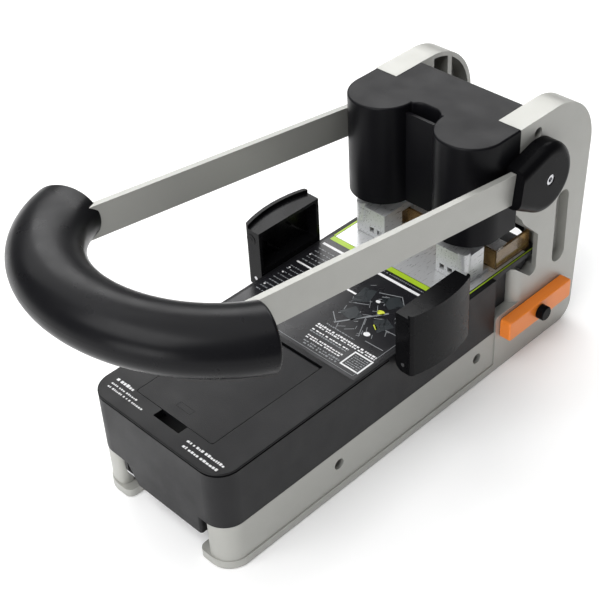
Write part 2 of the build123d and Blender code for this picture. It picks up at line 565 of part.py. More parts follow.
with BuildPart() as die_bed:
    with BuildSketch(Plane.XY.offset(BED_Z[0])):
        with Locations((0, sum(BED_Y) / 2)):
            Rectangle(2 * TOWER_X, BED_Y[1] - BED_Y[0])
        with Locations((-PIN_X, PUNCH_Y), (PIN_X, PUNCH_Y)):
            Circle(5, mode=Mode.SUBTRACT)
        with Locations((-POST_X, POST_Y), (POST_X, POST_Y)):
            Circle(POST_R, mode=Mode.SUBTRACT)
    extrude(amount=BED_Z[1] - BED_Z[0])
    with BuildSketch(Plane.XY.offset(DIE_SEAT)):
        with Locations((-PIN_X, PUNCH_Y), (PIN_X, PUNCH_Y)):
            Circle(DIE_R)
    extrude(amount=BED_Z[1] - DIE_SEAT, mode=Mode.SUBTRACT)
    # the rear lower edge is cut away like the throat in the towers
    with BuildSketch(side_plane(-TOWER_X)):
        with BuildLine():
            Polyline((JAW_FRONT + 3, BED_Z[1]), (BED_Y[1] + 1, BED_Z[1]), (BED_Y[1] + 1, 72.0),
                     (JAW_FRONT + 3, BED_Z[1]))
        make_face()
    extrude(amount=2 * TOWER_X, mode=Mode.SUBTRACT)
    for s in SIDES.values():
        with BuildSketch(side_plane(s * TOWER_X)):
            with Locations(DOWEL_YZ):
                Circle(DOWEL_R)
        extrude(amount=-s * 10, mode=Mode.SUBTRACT)
die_bed.part.label = "die_bed"
die_bed.part.color = STEEL
export_step(die_bed.part, "parts/die_bed.step")

with BuildPart() as dowels:
    for s in SIDES.values():
        with BuildSketch(side_plane(s * (TOWER_X - 10))):
            with Locations(DOWEL_YZ):
                Circle(DOWEL_R)
        extrude(amount=s * 19)
dowels.part.label = "bed_dowels"
dowels.part.color = STEEL
export_step(dowels.part, "parts/bed_dowels.step")

for side, s in SIDES.items():
    with BuildPart() as die:
        with BuildSketch(Plane.XY.offset(DIE_SEAT)):
            with Locations((s * PIN_X, PUNCH_Y)):
                Circle(DIE_R)
                Circle(PUNCH_R + RUN, mode=Mode.SUBTRACT)
        extrude(amount=TABLE_Z - DIE_SEAT)
        # relief below the cutting land lets the chips fall
        with BuildSketch(Plane.XY.offset(DIE_SEAT)):
            with Locations((s * PIN_X, PUNCH_Y)):
                Circle(PUNCH_R + 1)
        extrude(amount=8, mode=Mode.SUBTRACT)
    die.part.label = f"{side}_die"
    die.part.color = STEEL
    export_step(die.part, f"parts/{side}_die.step")

with BuildPart() as back_fence:
    with BuildSketch(Plane.XY.offset(TABLE_Z)):
        with Locations((0, FENCE_Y)):
            Rectangle(2 * FENCE_X, FENCE_REAR - FENCE_Y, align=(Align.CENTER, Align.MIN))
        with Locations((0, FENCE_Y + FENCE_T)):
            Rectangle(2 * (FENCE_X - FENCE_T), FENCE_REAR, align=(Align.CENTER, Align.MIN),
                      mode=Mode.SUBTRACT)
    extrude(amount=FENCE_TOP - TABLE_Z)
back_fence.part.label = "back_fence"
back_fence.part.color = AMBER
export_step(back_fence.part, "parts/back_fence.step")

GUIDE_Z, GUIDE_T, GUIDE_BOSS_R = 133.0, 5.0, 11.5
GUIDE_Y = (119.0, 150.0)
SLEEVE_X, SLEEVE_Y, SLEEVE_R, SLEEVE_Z = 49.0, 94.8, 4.6, (100.5, 115.4)

with BuildPart() as guide_posts:
    with BuildSketch(Plane.XY.offset(BED_Z[0])):
        with Locations((-POST_X, POST_Y), (POST_X, POST_Y)):
            Circle(POST_R)
    extrude(amount=GUIDE_Z + GUIDE_T - BED_Z[0])
guide_posts.part.label = "guide_posts"
guide_posts.part.color = STEEL
export_step(guide_posts.part, "parts/guide_posts.step")

with BuildPart() as guide_plate:
    with BuildSketch(Plane.XY.offset(GUIDE_Z)):
        with Locations((0, GUIDE_Y[1])):
            Rectangle(2 * TOWER_X, GUIDE_Y[1] - TOWER_FRONT - 0.4, align=(Align.CENTER, Align.MAX))
        with Locations((0, GUIDE_Y[1])):
            Rectangle(2 * TOWER_X - 6.4, GUIDE_Y[1] - GUIDE_Y[0], align=(Align.CENTER, Align.MAX))
        with Locations((-PIN_X, PUNCH_Y), (PIN_X, PUNCH_Y)):
            Circle(GUIDE_BOSS_R)
        with Locations((-POST_X, POST_Y), (POST_X, POST_Y)):
            Circle(POST_R, mode=Mode.SUBTRACT)
        with Locations((-PIN_X, PUNCH_Y), (PIN_X, PUNCH_Y)):
            Circle(PUNCH_R + RUN, mode=Mode.SUBTRACT)
    extrude(amount=GUIDE_T)
guide_plate.part.label = "guide_plate"
guide_plate.part.color = STEEL
export_step(guide_plate.part, "parts/guide_plate.step")

# ------------------------------------------------------------ presser feet
FOOT_W = (25.0, 53.0)
FOOT_D = (92.5, 112.0)
FOOT_Z = (TABLE_Z + GAP, 112.4)
SHEET = 2.0

for side, s in SIDES.items():
    with BuildPart() as presser:
        # folded channel: front plate and two cheeks round the punch
        with BuildSketch(Plane.XY.offset(FOOT_Z[0])):
            with Locations((sum(FOOT_W) / 2, FOOT_D[0])):
                Rectangle(FOOT_W[1] - FOOT_W[0], FOOT_D[1] - FOOT_D[0], align=(Align.CENTER, Align.MIN))
            with Locations((sum(FOOT_W) / 2, FOOT_D[0] + SHEET)):
                Rectangle(FOOT_W[1] - FOOT_W[0] - 2 * SHEET, FOOT_D[1] - FOOT_D[0],
                          align=(Align.CENTER, Align.MIN), mode=Mode.SUBTRACT)
        extrude(amount=FOOT_Z[1] - FOOT_Z[0])
        # sole and top plate, both bored for the punch; the top runs back to the guide post
        with BuildSketch(Plane.XY.offset(FOOT_Z[0])):
            with Locations((sum(FOOT_W) / 2, FOOT_D[0])):
                Rectangle(FOOT_W[1] - FOOT_W[0], FOOT_D[1] - FOOT_D[0] + 6, align=(Align.CENTER, Align.MIN))
            with Locations((PIN_X, PUNCH_Y)):
                Circle(PUNCH_R + GAP, mode=Mode.SUBTRACT)
        extrude(amount=SHEET)
        with BuildSketch(Plane.XY.offset(FOOT_Z[1] - 6)):
            with Locations((sum(FOOT_W) / 2, FOOT_D[0])):
                Rectangle(FOOT_W[1] - FOOT_W[0], FOOT_D[1] - FOOT_D[0], align=(Align.CENTER, Align.MIN))
            with Locations((POST_X, FOOT_D[1] - 1)):
                Rectangle(15, POST_Y - FOOT_D[1] + 1, align=(Align.CENTER, Align.MIN))
            with Locations((POST_X, POST_Y)):
                Circle(7.5)
            with Locations((POST_X, POST_Y)):
                Circle(POST_R + RUN, mode=Mode.SUBTRACT)
            with Locations((PIN_X, PUNCH_Y)):
                Circle(PUNCH_R + GAP, mode=Mode.SUBTRACT)
        extrude(amount=6)
        # two slots low in the front plate
        with BuildSketch(front_plane(FOOT_D[0] + SHEET + 1)):
            with Locations((30.5, 94.5), (38.0, 94.5)):
                Rectangle(4.2, 4.5)
        extrude(amount=SHEET + 2, mode=Mode.SUBTRACT)
        with BuildSketch(Plane.XY.offset(SLEEVE_Z[0])):
            with Locations((SLEEVE_X, SLEEVE_Y)):
                Circle(SLEEVE_R)
        extrude(amount=SLEEVE_Z[1] - SLEEVE_Z[0])
        if side == "left":
            mirror(about=Plane.YZ, mode=Mode.REPLACE)
    presser.part.label = f"{side}_presser_foot"
    presser.part.color = STEEL
    export_step(presser.part, f"parts/{side}_presser_foot.step")

# ------------------------------------------------------------ punches, crosshead and cranks
BLOCK_X = (30.0, 50.0)
BLOCK_Y = (98.0, 122.0)
BLOCK_Z = (GUIDE_Z + GUIDE_T + GAP, 163.0)
BRIDGE_Y, BRIDGE_Z = 116.8, 157.0
ROLLER_R = 4.0
SLOT_HALF = ROLLER_R + 0.7    # the slot absorbs the crank's departure from a constant ratio
SLOT_DEPTH = 4.5

with BuildPart() as crosshead:
    for s in SIDES.values():
        with BuildSketch(Plane.XY.offset(BLOCK_Z[0])):
            with Locations((s * sum(BLOCK_X) / 2, sum(BLOCK_Y) / 2)):
                RectangleRounded(BLOCK_X[1] - BLOCK_X[0], BLOCK_Y[1] - BLOCK_Y[0], 3)
        extrude(amount=BLOCK_Z[1] - BLOCK_Z[0])
    with BuildSketch(Plane.XY.offset(BRIDGE_Z)):
        with Locations((0, BRIDGE_Y)):
            Rectangle(2 * BLOCK_X[0] + 4, 3.4, align=(Align.CENTER, Align.MIN))
    extrude(amount=BLOCK_Z[1] - BRIDGE_Z)
    for s in SIDES.values():
        with BuildSketch(side_plane(s * BLOCK_X[0])):
            with Locations((TIP_Y - 2.8, TIP_Z)):
                Rectangle(5.6 + 2 * ROLLER_R + 2, 2 * SLOT_HALF)
        extrude(amount=s * SLOT_DEPTH, mode=Mode.SUBTRACT)
    with BuildSketch(Plane.XY.offset(BLOCK_Z[0])):
        with Locations((-PIN_X, PUNCH_Y), (PIN_X, PUNCH_Y)):
            Circle(PUNCH_R)
    extrude(amount=14, mode=Mode.SUBTRACT)
crosshead.part.label = "crosshead"
crosshead.part.color = STEEL
export_step(crosshead.part, "parts/crosshead.step")

for side, s in SIDES.items():
    with BuildPart() as punch:
        with BuildSketch(Plane.XY.offset(TABLE_Z - 8)):
            with Locations((s * PIN_X, PUNCH_Y)):
                Circle(PUNCH_R)
        extrude(amount=BLOCK_Z[0] + 14 - TABLE_Z + 8)
        # the cutting end is hollow-ground to a shallow V
        with BuildSketch(front_plane(PUNCH_Y + 5)):
            with BuildLine():
                Polyline((s * PIN_X - 4, TABLE_Z - 8), (s * PIN_X, TABLE_Z - 6), (s * PIN_X + 4, TABLE_Z - 8),
                         (s * PIN_X - 4, TABLE_Z - 8))
            make_face()
        extrude(amount=10, mode=Mode.SUBTRACT)
    punch.part.label = f"{side}_punch"
    punch.part.color = STEEL
    export_step(punch.part, f"parts/{side}_punch.step")

CRANK_X = (20.5, 28.5)
HUB_R, TIP_R = 12.0, 5.8

for side, s in SIDES.items():
    with BuildPart() as crank:
        with BuildSketch(side_plane(s * CRANK_X[0])):
            with Locations((PIVOT_Y, PIVOT_Z)):
                Circle(HUB_R)
            with Locations((TIP_Y, TIP_Z)):
                Circle(TIP_R)
            with BuildLine():
                turn = radians(CRANK_DOWN)
                across = (-sin(turn) * 5.6, cos(turn) * 5.6)
                Polyline((PIVOT_Y + across[0], PIVOT_Z + across[1]), (TIP_Y + across[0], TIP_Z + across[1]),
                         (TIP_Y - across[0], TIP_Z - across[1]), (PIVOT_Y - across[0], PIVOT_Z - across[1]),
                         (PIVOT_Y + across[0], PIVOT_Z + across[1]))
            make_face()
            with Locations((PIVOT_Y, PIVOT_Z)):
                Circle(SHAFT_R, mode=Mode.SUBTRACT)
            with Locations((TIP_Y, TIP_Z)):
                Circle(2.5, mode=Mode.SUBTRACT)
        extrude(amount=s * (CRANK_X[1] - CRANK_X[0]))
    crank.part.label = f"{side}_crank"
    crank.part.color = STEEL
    export_step(crank.part, f"parts/{side}_crank.step")

with BuildPart() as rollers:
    for s in SIDES.values():
        with BuildSketch(side_plane(s * CRANK_X[0])):
            with Locations((TIP_Y, TIP_Z)):
                Circle(2.5)
        extrude(amount=s * (CRANK_X[1] - CRANK_X[0]))
        with BuildSketch(side_plane(s * CRANK_X[1])):
            with Locations((TIP_Y, TIP_Z)):
                Circle(ROLLER_R)
        extrude(amount=s * (BLOCK_X[0] + SLOT_DEPTH - 0.5 - CRANK_X[1]))
rollers.part.label = "crank_rollers"
rollers.part.color = STEEL
export_step(rollers.part, "parts/crank_rollers.step")

# ------------------------------------------------------------ lever
HUB_X = (FRAME_X + 0.5, 82.0)
SHAFT_END = 77.0
DISC_R, SHOULDER_R = 26.6, 7.0
SOCKET_L, SOCKET_H = 32.0, 30.0
SCREW_R, SCREW_HEAD_R, SCREW_HEAD_T = 3.0, 4.2, 4.4
ARM_END = GRIP_REACH + 62.0

with BuildPart() as pivot_shaft:
    with BuildSketch(side_plane(-SHAFT_END)):
        with Locations((PIVOT_Y, PIVOT_Z)):
            Circle(SHAFT_R)
    extrude(amount=2 * SHAFT_END)
    for s in SIDES.values():
        with BuildSketch(side_plane(s * SHAFT_END)):
            with Locations((PIVOT_Y, PIVOT_Z)):
                Circle(SCREW_R)
        extrude(amount=-s * 16, mode=Mode.SUBTRACT)
pivot_shaft.part.label = "pivot_shaft"
pivot_shaft.part.color = STEEL
export_step(pivot_shaft.part, "parts/pivot_shaft.step")

with BuildPart() as pivot_screws:
    for s in SIDES.values():
        with BuildSketch(side_plane(s * (SHAFT_END - 16))):
            with Locations((PIVOT_Y, PIVOT_Z)):
                Circle(SCREW_R)
        extrude(amount=s * 16)
        with BuildSketch(side_plane(s * SHAFT_END)):
            with Locations((PIVOT_Y, PIVOT_Z)):
                Circle(SCREW_HEAD_R)
        extrude(amount=s * SCREW_HEAD_T)
        with BuildSketch(side_plane(s * (SHAFT_END + SCREW_HEAD_T))):
            with Locations((PIVOT_Y, PIVOT_Z)):
                RegularPolygon(2.1, 6)
        extrude(amount=-s * 2.4, mode=Mode.SUBTRACT)
pivot_screws.part.label = "pivot_screws"
pivot_screws.part.color = STEEL
export_step(pivot_screws.part, "parts/pivot_screws.step")

for side, s in SIDES.items():
    with BuildPart() as arm:
        with BuildSketch(lever_plane(s * ARM_X)):
            with Locations((ARM_END / 2, 0)):
                Rectangle(ARM_END, ARM_H)
            Circle(ARM_H / 2)
            Circle(SHAFT_R, mode=Mode.SUBTRACT)
        extrude(amount=s * ARM_T)
    arm.part.label = f"{side}_arm"
    arm.part.color = SILVER
    export_step(arm.part, f"parts/{side}_arm.step")

    with BuildPart() as hub:
        with BuildSketch(lever_plane(s * HUB_X[0])):
            Circle(DISC_R)
            with Locations((SOCKET_L, 0)):
                Rectangle(2, SOCKET_H, align=(Align.MAX, Align.CENTER))
            make_hull()
        extrude(amount=-s * (HUB_X[1] - HUB_X[0]))
        shoulder = hub.faces().sort_by(Axis.X)[-1 if s > 0 else 0].edges()
        fillet(shoulder.sort_by(Axis((0, PIVOT_Y, PIVOT_Z), lever_plane(0).x_dir))[:-1], SHOULDER_R)
        # pocket for the arm, shaft bore and the screw's seat
        with BuildSketch(lever_plane(s * ARM_X)):
            with Locations((ARM_END / 2, 0)):
                Rectangle(ARM_END, ARM_H)
            Circle(ARM_H / 2)
        extrude(amount=s * ARM_T, mode=Mode.SUBTRACT)
        with BuildSketch(side_plane(s * HUB_X[0])):
            with Locations((PIVOT_Y, PIVOT_Z)):
                Circle(SHAFT_R)
        extrude(amount=s * (SHAFT_END - HUB_X[0]), mode=Mode.SUBTRACT)
        with BuildSketch(side_plane(s * SHAFT_END)):
            with Locations((PIVOT_Y, PIVOT_Z)):
                Circle(SCREW_HEAD_R)
        extrude(amount=s * (HUB_X[1] - SHAFT_END), mode=Mode.SUBTRACT)
    hub.part.label = f"{side}_hub"
    hub.part.color = BLACK
    export_step(hub.part, f"parts/{side}_hub.step")

with BuildPart() as grip:
    tilt = radians(ARM_TILT)
    forward = Vector(0, -cos(tilt), sin(tilt))
    upward = Vector(0, sin(tilt), cos(tilt))
    centre = Vector(0, PIVOT_Y, PIVOT_Z) + forward * GRIP_REACH
    start = radians(GRIP_END)
    outward = Vector(cos(start), 0, 0) + forward * sin(start)
    with BuildSketch(Plane(origin=centre + outward * GRIP_R, x_dir=outward, z_dir=outward.cross(upward))):
        Ellipse(GRIP_A, GRIP_B)
    revolve(axis=Axis(centre, upward * -1), revolution_arc=180 - 2 * GRIP_END)
    fillet(grip.faces().filter_by(GeomType.PLANE).edges(), 2.5)
    for s in SIDES.values():
        with BuildSketch(lever_plane(s * ARM_X)):
            with Locations((ARM_END / 2, 0)):
                Rectangle(ARM_END, ARM_H)
        extrude(amount=s * ARM_T, mode=Mode.SUBTRACT)
grip.part.label = "grip"
grip.part.color = BLACK
export_step(grip.part, "parts/grip.step")

# ------------------------------------------------------------ head cover
LOBE_Y, LOBE_R = 109.2, 26.0
HEAD_Z = (126.0, TOWER_TOP)
HEAD_T = 2.5
HEAD_REAR = 156.7
NOTCH_X, NOTCH_Y, NOTCH_R = 13.5, 113.7, 9.0
PANEL_Y, PANEL_TOP = 104.0, 200.0


def head_outline(inset):
    """Plan of the head cover, drawn in by inset: two round lobes joined by a straight back."""
    back = TOWER_FRONT - 0.2 - inset
    with Locations((-PIN_X, LOBE_Y), (PIN_X, LOBE_Y)):
        Circle(LOBE_R - inset)
    with Locations((0, LOBE_Y)):
        Rectangle(2 * (PIN_X + LOBE_R - inset), back - LOBE_Y, align=(Align.CENTER, Align.MIN))
    with Locations((0, back)):
        Rectangle(200, 20, align=(Align.CENTER, Align.MIN), mode=Mode.SUBTRACT)
    with Locations((0, NOTCH_Y - 30 + inset)):
        RectangleRounded(2 * (NOTCH_X + inset), 60, NOTCH_R, mode=Mode.SUBTRACT)


def rear_shape(inset):
    """Side view of the cover's part between the towers, drawn in by inset."""
    front = NOTCH_Y + 6 if inset else TOWER_FRONT - 2
    low = HEAD_Z[0] - 1 if inset else GUIDE_Z + GUIDE_T + 0.2
    Polygon((front, low), (HEAD_REAR + 5.5 - inset, low), (HEAD_REAR + 5.5 - inset, HEAD_Z[1] - 9),
            (HEAD_REAR - inset, HEAD_Z[1] - inset), (front, HEAD_Z[1] - inset), align=None)


with BuildPart() as head_cover:
    with BuildSketch(Plane.XY.offset(HEAD_Z[0])):
        head_outline(0)
    extrude(amount=HEAD_Z[1] - HEAD_Z[0])
    top_edges = head_cover.faces().sort_by(Axis.Z)[-1].edges()
    fillet([edge for edge in top_edges if edge.center().Y < TOWER_FRONT - 3], 1.5)
    with BuildSketch(side_plane(0.2 - TOWER_X)):
        rear_shape(0)
    extrude(amount=2 * TOWER_X - 0.4)
    # hollow, open below
    with BuildSketch(Plane.XY.offset(HEAD_Z[0])):
        head_outline(HEAD_T)
    extrude(amount=HEAD_Z[1] - HEAD_Z[0] - HEAD_T, mode=Mode.SUBTRACT)
    with BuildSketch(side_plane(0.2 - TOWER_X + HEAD_T)):
        rear_shape(HEAD_T)
    extrude(amount=2 * (TOWER_X - HEAD_T) - 0.4, mode=Mode.SUBTRACT)
    # lower panel that closes the notch between the lobes
    with BuildSketch(Plane.XY.offset(HEAD_Z[0])):
        with Locations((0, PANEL_Y)):
            Rectangle(2 * NOTCH_X + 4, 2.5, align=(Align.CENTER, Align.MIN))
    extrude(amount=PANEL_TOP - HEAD_Z[0])
    # clearance for the shaft and the tie rod
    with BuildSketch(side_plane(-TOWER_X)):
        with Locations((PIVOT_Y, PIVOT_Z)):
            Circle(SHAFT_R + 0.6)
        with Locations(TIE_YZ):
            Circle(5.2)
    extrude(amount=2 * TOWER_X, mode=Mode.SUBTRACT)
head_cover.part.label = "head_cover"
head_cover.part.color = BLACK
export_step(head_cover.part, "parts/head_cover.step")

SPRING_R, WIRE_R, SPRING_W = 9.6, 1.0, 30.0
with BuildPart() as return_spring:
    with BuildLine() as coil:
        Helix(pitch=3.0, height=SPRING_W, radius=SPRING_R, center=(-SPRING_W / 2, PIVOT_Y, PIVOT_Z),
              direction=(1, 0, 0))
    with BuildSketch(Plane(origin=coil.line @ 0, z_dir=coil.line % 0)):
        Circle(WIRE_R)
    sweep()
return_spring.part.label = "return_spring"
return_spring.part.color = STEEL
export_step(return_spring.part, "parts/return_spring.step")

# ------------------------------------------------------------ chip drawer and chute
DRAWER_Y = (121.5, 190.2)
DRAWER_Z = (33.8, 46.4)
DRAWER_X = (-40.0, FRAME_X + 0.4)
DRAWER_T = 1.6
BAR_Y = (118.5, 193.4)
BAR_Z = (31.5, 48.5)
BAR_OUT = 75.5
KNOB_Y, KNOB_Z, KNOB_R = 154.8, 40.0, 5.8

with BuildPart() as chip_drawer:
    with BuildSketch(Plane.XY.offset(DRAWER_Z[0])):
        with Locations((sum(DRAWER_X) / 2, sum(DRAWER_Y) / 2)):
            Rectangle(DRAWER_X[1] - DRAWER_X[0], DRAWER_Y[1] - DRAWER_Y[0])
    extrude(amount=DRAWER_Z[1] - DRAWER_Z[0])
    offset(amount=-DRAWER_T, openings=chip_drawer.faces().sort_by(Axis.Z)[-1])
chip_drawer.part.label = "chip_drawer"
chip_drawer.part.color = BLACK
export_step(chip_drawer.part, "parts/chip_drawer.step")

with BuildPart() as drawer_front:
    with BuildSketch(side_plane(DRAWER_X[1])):
        with Locations((sum(BAR_Y) / 2, sum(BAR_Z) / 2)):
            RectangleRounded(BAR_Y[1] - BAR_Y[0], BAR_Z[1] - BAR_Z[0], 2.5)
    extrude(amount=BAR_OUT - DRAWER_X[1])
    fillet(drawer_front.faces().sort_by(Axis.X)[-1].edges(), 1.2)
    with BuildSketch(side_plane(DRAWER_X[1])):
        with Locations((KNOB_Y, KNOB_Z)):
            Circle(2 + RUN)
    extrude(amount=BAR_OUT - DRAWER_X[1], mode=Mode.SUBTRACT)
drawer_front.part.label = "drawer_front"
drawer_front.part.color = ORANGE
export_step(drawer_front.part, "parts/drawer_front.step")

with BuildPart() as drawer_knob:
    with BuildSketch(side_plane(DRAWER_X[1] + 0.4)):
        with Locations((KNOB_Y, KNOB_Z)):
            Circle(2)
    extrude(amount=BAR_OUT - DRAWER_X[1])
    with BuildSketch(side_plane(BAR_OUT + 0.4)):
        with Locations((KNOB_Y, KNOB_Z)):
            Circle(KNOB_R)
    extrude(amount=6)
    chamfer(drawer_knob.faces().sort_by(Axis.X)[-1].edges(), 0.8)
drawer_knob.part.label = "drawer_knob"
drawer_knob.part.color = BLACK
export_step(drawer_knob.part, "parts/drawer_knob.step")

CHUTE_X = 45.0
with BuildPart() as chip_chute:
    # sloping floor from in front of the dies down and back to the drawer, with side cheeks
    with BuildSketch(side_plane(-CHUTE_X)):
        with BuildLine():
            Polyline((99.0, 65.6), (99.0, 60.0), (119.5, 47.6), (121.5, 47.6), (121.5, 49.6), (101.0, 62.0),
                     (101.0, 65.6), (99.0, 65.6))
        make_face()
    extrude(amount=2 * CHUTE_X)
    for s in SIDES.values():
        with BuildSketch(side_plane(s * CHUTE_X)):
            with BuildLine():
                Polyline((99.0, 65.6), (99.0, 60.0), (119.5, 47.6), (146.0, 47.6), (146.0, 65.6),
                         (99.0, 65.6))
            make_face()
        extrude(amount=-s * 1.6)
chip_chute.part.label = "chip_chute"
chip_chute.part.color = BLACK
export_step(chip_chute.part, "parts/chip_chute.step")
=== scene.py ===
import json
import math
import random

import bmesh
import bpy
from mathutils import Matrix, Vector


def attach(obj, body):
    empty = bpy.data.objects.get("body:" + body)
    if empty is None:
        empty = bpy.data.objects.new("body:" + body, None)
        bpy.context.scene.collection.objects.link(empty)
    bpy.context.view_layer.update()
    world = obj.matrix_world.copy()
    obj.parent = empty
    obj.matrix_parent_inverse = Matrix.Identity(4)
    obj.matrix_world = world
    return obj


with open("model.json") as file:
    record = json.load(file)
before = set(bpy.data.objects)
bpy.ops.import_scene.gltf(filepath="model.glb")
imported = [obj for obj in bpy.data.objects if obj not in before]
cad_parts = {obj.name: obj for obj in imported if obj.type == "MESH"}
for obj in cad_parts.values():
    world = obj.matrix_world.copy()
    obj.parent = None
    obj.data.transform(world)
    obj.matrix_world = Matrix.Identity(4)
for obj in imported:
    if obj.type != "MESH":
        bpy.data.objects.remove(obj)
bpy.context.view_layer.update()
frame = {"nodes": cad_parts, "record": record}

nodes = frame["nodes"]

# ------------------------------------------------------------ camera
AZIMUTH, ELEVATION, ROLL = math.radians(47.179), math.radians(38.579), math.radians(3.389)
CAMERA_AT = Vector((0.52929, -0.51085, 0.69029))
LENS = 81.26


def make_camera():
    back = Vector((math.sin(AZIMUTH) * math.cos(ELEVATION), -math.cos(AZIMUTH) * math.cos(ELEVATION),
                   math.sin(ELEVATION)))
    right = (-back).cross(Vector((0, 0, 1))).normalized()
    down = (-back).cross(right)
    x_axis = right * math.cos(ROLL) + down * math.sin(ROLL)
    y_axis = right * math.sin(ROLL) - down * math.cos(ROLL)
    data = bpy.data.cameras.new("camera")
    data.lens = LENS
    data.sensor_width = 36
    data.clip_start, data.clip_end = 0.05, 20
    camera = bpy.data.objects.new("camera", data)
    rotation = Matrix((x_axis, y_axis, back)).transposed().to_4x4()
    camera.matrix_world = Matrix.Translation(CAMERA_AT) @ rotation
    bpy.context.scene.collection.objects.link(camera)
    bpy.context.scene.camera = camera


make_camera()


# ------------------------------------------------------------ studio
FLOOR_HALF = 6.0
LIGHTS_AIM = (0, 0, 0.1)
LIGHTS = {                    # place, width and height, power
    "top": ((0, 0, 2.0), (2.0, 2.0), 20),
    "top_front": ((0, -1.2, 1.8), (1.6, 1.2), 30),
    "top_left": ((-1.4, 0, 1.6), (1.2, 1.6), 10),
    "back_left": ((-1.1, 1.15, 1.25), (1.9, 0.7), 20),
    "front": ((0.5, -2.0, 0.5), (1.0, 0.8), 13)}


def add_area(name, place, size, power):
    data = bpy.data.lights.new(name, "AREA")
    data.shape = "RECTANGLE"
    data.size, data.size_y = size
    data.energy = power
    light = bpy.data.objects.new(name, data)
    aim = (Vector(LIGHTS_AIM) - Vector(place)).to_track_quat("-Z", "Y")
    light.matrix_world = Matrix.Translation(place) @ aim.to_matrix().to_4x4()
    bpy.context.scene.collection.objects.link(light)


def make_studio():
    world = bpy.data.worlds.new("studio")
    world.use_nodes = True
    background = world.node_tree.nodes["Background"]
    background.inputs["Color"].default_value = (1, 1, 1, 1)
    background.inputs["Strength"].default_value = 0.09
    bpy.context.scene.world = world
    mesh = bpy.data.meshes.new("floor")
    half = FLOOR_HALF
    corners = [(-half, -half, 0), (half, -half, 0), (half, half, 0), (-half, half, 0)]
    mesh.from_pydata(corners, [], [(0, 1, 2, 3)])
    floor = bpy.data.objects.new("floor", mesh)
    bpy.context.scene.collection.objects.link(floor)
    material = bpy.data.materials.new("floor")
    material.use_nodes = True
    shader = material.node_tree.nodes["Principled BSDF"]
    shader.inputs["Base Color"].default_value = (0.95, 0.95, 0.95, 1)
    shader.inputs["Roughness"].default_value = 0.9
    shader.inputs["Emission Color"].default_value = (1, 1, 1, 1)
    shader.inputs["Emission Strength"].default_value = 0.1
    mesh.materials.append(material)
    for name, (place, size, power) in LIGHTS.items():
        add_area(name, place, size, power)
    bpy.context.scene.view_settings.view_transform = "Standard"


make_studio()


# ------------------------------------------------------------ materials
def new_material(name):
    material = bpy.data.materials.new(name)
    material.use_nodes = True
    tree = material.node_tree
    return material, tree, tree.nodes["Principled BSDF"]


def noise(tree, scale, detail=3.0, stretch=(1, 1, 1)):
    """Noise in the object's own metres; returns its value socket."""
    where = tree.nodes.new("ShaderNodeTexCoord")
    mapping = tree.nodes.new("ShaderNodeMapping")
    mapping.inputs["Scale"].default_value = stretch
    texture = tree.nodes.new("ShaderNodeTexNoise")
    texture.inputs["Scale"].default_value = scale
    texture.inputs["Detail"].default_value = detail
    tree.links.new(where.outputs["Object"], mapping.inputs["Vector"])
    tree.links.new(mapping.outputs["Vector"], texture.inputs["Vector"])
    return texture.outputs["Fac"]


def spread(tree, value, low, high):
    """A value from a noise socket, mapped to the range low to high."""
    ranged = tree.nodes.new("ShaderNodeMapRange")
    ranged.inputs["From Min"].default_value = 0.3
    ranged.inputs["From Max"].default_value = 0.7
    ranged.inputs["To Min"].default_value = low
    ranged.inputs["To Max"].default_value = high
    tree.links.new(value, ranged.inputs["Value"])
    return ranged.outputs["Result"]


def blend_colours(tree, factor, first, second):
    mix = tree.nodes.new("ShaderNodeMix")
    mix.data_type = "RGBA"
    mix.inputs["A"].default_value = (*first, 1)
    mix.inputs["B"].default_value = (*second, 1)
    tree.links.new(factor, mix.inputs["Factor"])
    return mix.outputs["Result"]


def add_bump(tree, shader, height, strength, distance):
    bump = tree.nodes.new("ShaderNodeBump")
    bump.inputs["Strength"].default_value = strength
    bump.inputs["Distance"].default_value = distance
    tree.links.new(height, bump.inputs["Height"])
    tree.links.new(bump.outputs["Normal"], shader.inputs["Normal"])


def moulded(name, colour, rough, grain=2600.0, strength=0.12, shine=0.5, clear=0.0):
    """Moulded plastic or rubber: slight colour drift, fine grain, uneven gloss."""
    material, tree, shader = new_material(name)
    drift = noise(tree, 14.0)
    light = tuple(min(1.0, c * 1.25 + 0.002) for c in colour)
    tree.links.new(blend_colours(tree, drift, colour, light), shader.inputs["Base Color"])
    tree.links.new(spread(tree, noise(tree, 60.0), rough - 0.04, rough + 0.05), shader.inputs["Roughness"])
    add_bump(tree, shader, noise(tree, grain, 2.0), strength, 0.0002)
    shader.inputs["Specular IOR Level"].default_value = shine
    shader.inputs["Transmission Weight"].default_value = clear
    return material


def painted(name, colour, rough):
    """Silver paint: metallic flake, faint orange peel."""
    material, tree, shader = new_material(name)
    shade = tuple(c * 0.93 for c in colour)
    tree.links.new(blend_colours(tree, noise(tree, 5000.0, 1.0), shade, colour), shader.inputs["Base Color"])
    tree.links.new(spread(tree, noise(tree, 90.0), rough - 0.04, rough + 0.04), shader.inputs["Roughness"])
    add_bump(tree, shader, noise(tree, 700.0, 3.0), 0.08, 0.0002)
    shader.inputs["Metallic"].default_value = 0.35
    return material


def metal(name, colour, rough, stretch=(1, 1, 1), strength=0.1, metallic=1.0):
    """Bare or plated steel, with fine lines along the stretched axis."""
    material, tree, shader = new_material(name)
    shade = tuple(c * 0.82 for c in colour)
    lines = noise(tree, 900.0, 4.0, stretch)
    tree.links.new(blend_colours(tree, lines, shade, colour), shader.inputs["Base Color"])
    tree.links.new(spread(tree, lines, rough - 0.05, rough + 0.08), shader.inputs["Roughness"])
    add_bump(tree, shader, lines, strength, 0.0001)
    shader.inputs["Metallic"].default_value = metallic
    return material


